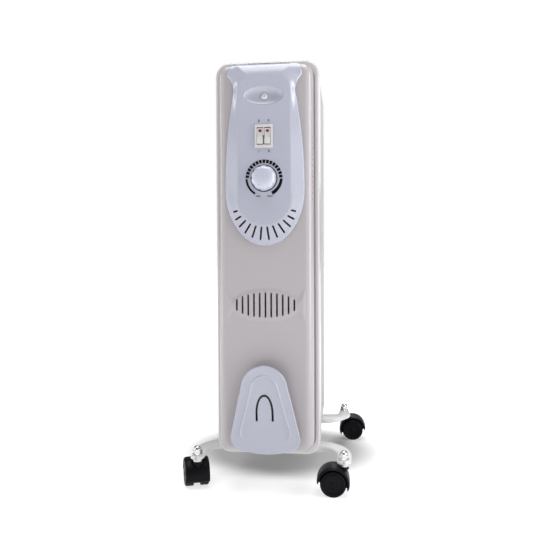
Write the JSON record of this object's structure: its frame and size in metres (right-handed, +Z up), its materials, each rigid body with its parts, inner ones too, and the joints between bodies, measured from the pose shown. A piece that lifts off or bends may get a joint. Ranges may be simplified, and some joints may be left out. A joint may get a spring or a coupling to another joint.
{
  "type": "oil filled radiator heater",
  "caption": "Free-standing oil filled radiator: pressed fins on two headers, front control box with dial and rocker switches, cord storage plate, channel feet on twin-wheel casters.",
  "frame": {"origin": "on the floor, midway between the four caster stems", "axes": "+Z up; -Y out of the control end, so +Y towards the rear fin; +X to the right as seen from the control end"},
  "size_m": [0.2965, 0.3864, 0.648],
  "materials": {
    "radiator_paint": "light grey-white satin powder coat",
    "cover_paint": "light warm grey gloss enamel",
    "fascia_plastic": "satin blue-grey moulding",
    "knob_plastic": "silver-blue lacquered moulding",
    "switch_plastic": "off-white moulding",
    "red_lens": "clear dark red lens",
    "foot_paint": "light grey satin enamel",
    "caster_plastic": "black moulding, slightly glossy",
    "nut_chrome": "bright chrome",
    "zinc_steel": "zinc plated",
    "brass": "plain turned brass",
    "moulded_phenolic": "dark moulded resin",
    "grommet_rubber": "black rubber"
  },
  "bodies": {
    "radiator": {"acorn_nut_front_left": "nut_chrome", "acorn_nut_front_right": "nut_chrome", "acorn_nut_rear_left": "nut_chrome", "acorn_nut_rear_right": "nut_chrome", "caster_stem_front_left": "zinc_steel", "caster_stem_front_right": "zinc_steel", "caster_stem_rear_left": "zinc_steel", "caster_stem_rear_right": "zinc_steel", "control_fascia": "fascia_plastic", "control_housing": "radiator_paint", "cord_grommet": "grommet_rubber", "cord_storage_cover": "fascia_plastic", "fascia_screw": "zinc_steel", "fin_1": "radiator_paint", "fin_2": "radiator_paint", "fin_3": "radiator_paint", "fin_4": "radiator_paint", "fin_5": "radiator_paint", "fin_6": "radiator_paint", "fin_7": "radiator_paint", "foot_front": "foot_paint", "foot_rear": "foot_paint", "foot_u_bolt_front": "zinc_steel", "foot_u_bolt_rear": "zinc_steel", "front_cover": "cover_paint", "heating_element": "brass", "oil_filler_plug": "zinc_steel", "switch_body": "switch_plastic", "terminal_block": "moulded_phenolic", "thermal_cutout": "zinc_steel", "thermostat_body": "moulded_phenolic", "thermostat_bracket": "zinc_steel", "tip_over_switch": "moulded_phenolic", "wing_nut_front_left": "zinc_steel", "wing_nut_front_right": "zinc_steel", "wing_nut_rear_left": "zinc_steel", "wing_nut_rear_right": "zinc_steel"},
    "thermostat_dial": {"thermostat_knob": "knob_plastic", "thermostat_shaft": "brass"},
    "rocker_switch_left": {"rocker_left": "switch_plastic", "rocker_lens_left": "red_lens"},
    "rocker_switch_right": {"rocker_right": "switch_plastic", "rocker_lens_right": "red_lens"},
    "caster_front_left": {"caster_hood_front_left": "caster_plastic", "caster_axle_front_left": "zinc_steel"},
    "wheel_front_left_a": {"caster_wheel_front_left_a": "caster_plastic"},
    "wheel_front_left_b": {"caster_wheel_front_left_b": "caster_plastic"},
    "caster_front_right": {"caster_hood_front_right": "caster_plastic", "caster_axle_front_right": "zinc_steel"},
    "wheel_front_right_a": {"caster_wheel_front_right_a": "caster_plastic"},
    "wheel_front_right_b": {"caster_wheel_front_right_b": "caster_plastic"},
    "caster_rear_left": {"caster_hood_rear_left": "caster_plastic", "caster_axle_rear_left": "zinc_steel"},
    "wheel_rear_left_a": {"caster_wheel_rear_left_a": "caster_plastic"},
    "wheel_rear_left_b": {"caster_wheel_rear_left_b": "caster_plastic"},
    "caster_rear_right": {"caster_hood_rear_right": "caster_plastic", "caster_axle_rear_right": "zinc_steel"},
    "wheel_rear_right_a": {"caster_wheel_rear_right_a": "caster_plastic"},
    "wheel_rear_right_b": {"caster_wheel_rear_right_b": "caster_plastic"}
  },
  "joints": [
    {"name": "thermostat_turn", "type": "hinge", "parent": "radiator", "child": "thermostat_dial", "pos_m": [0, -0.2009, 0.469], "axis": [0, 1, 0], "range_deg": [0, 300]},
    {"name": "rocker_left_tip", "type": "hinge", "parent": "radiator", "child": "rocker_switch_left", "pos_m": [-0.0053, -0.1973, 0.5287], "axis": [1, 0, 0], "range_deg": [0, 16]},
    {"name": "rocker_right_tip", "type": "hinge", "parent": "radiator", "child": "rocker_switch_right", "pos_m": [0.0053, -0.1973, 0.5287], "axis": [1, 0, 0], "range_deg": [0, 16]},
    {"name": "swivel_front_left", "type": "hinge", "parent": "radiator", "child": "caster_front_left", "pos_m": [-0.112, -0.148, 0.0423], "axis": [0, 0, 1], "continuous": true},
    {"name": "roll_front_left_a", "type": "hinge", "parent": "caster_front_left", "child": "wheel_front_left_a", "pos_m": [-0.11747, -0.13296, 0.0195], "axis": [-0.9397, -0.342, 0], "continuous": true},
    {"name": "roll_front_left_b", "type": "hinge", "parent": "caster_front_left", "child": "wheel_front_left_b", "pos_m": [-0.11747, -0.13296, 0.0195], "axis": [-0.9397, -0.342, 0], "continuous": true},
    {"name": "swivel_front_right", "type": "hinge", "parent": "radiator", "child": "caster_front_right", "pos_m": [0.112, -0.148, 0.0423], "axis": [0, 0, 1], "continuous": true},
    {"name": "roll_front_right_a", "type": "hinge", "parent": "caster_front_right", "child": "wheel_front_right_a", "pos_m": [0.096, -0.148, 0.0195], "axis": [0, 1, 0], "continuous": true},
    {"name": "roll_front_right_b", "type": "hinge", "parent": "caster_front_right", "child": "wheel_front_right_b", "pos_m": [0.096, -0.148, 0.0195], "axis": [0, 1, 0], "continuous": true},
    {"name": "swivel_rear_left", "type": "hinge", "parent": "radiator", "child": "caster_rear_left", "pos_m": [-0.112, 0.148, 0.0423], "axis": [0, 0, 1], "continuous": true},
    {"name": "roll_rear_left_a", "type": "hinge", "parent": "caster_rear_left", "child": "wheel_rear_left_a", "pos_m": [-0.096, 0.148, 0.0195], "axis": [0, 1, 0], "continuous": true},
    {"name": "roll_rear_left_b", "type": "hinge", "parent": "caster_rear_left", "child": "wheel_rear_left_b", "pos_m": [-0.096, 0.148, 0.0195], "axis": [0, 1, 0], "continuous": true},
    {"name": "swivel_rear_right", "type": "hinge", "parent": "radiator", "child": "caster_rear_right", "pos_m": [0.112, 0.148, 0.0423], "axis": [0, 0, 1], "continuous": true},
    {"name": "roll_rear_right_a", "type": "hinge", "parent": "caster_rear_right", "child": "wheel_rear_right_a", "pos_m": [0.128, 0.148, 0.0195], "axis": [0, 1, 0], "continuous": true},
    {"name": "roll_rear_right_b", "type": "hinge", "parent": "caster_rear_right", "child": "wheel_rear_right_b", "pos_m": [0.128, 0.148, 0.0195], "axis": [0, 1, 0], "continuous": true}
  ]
}
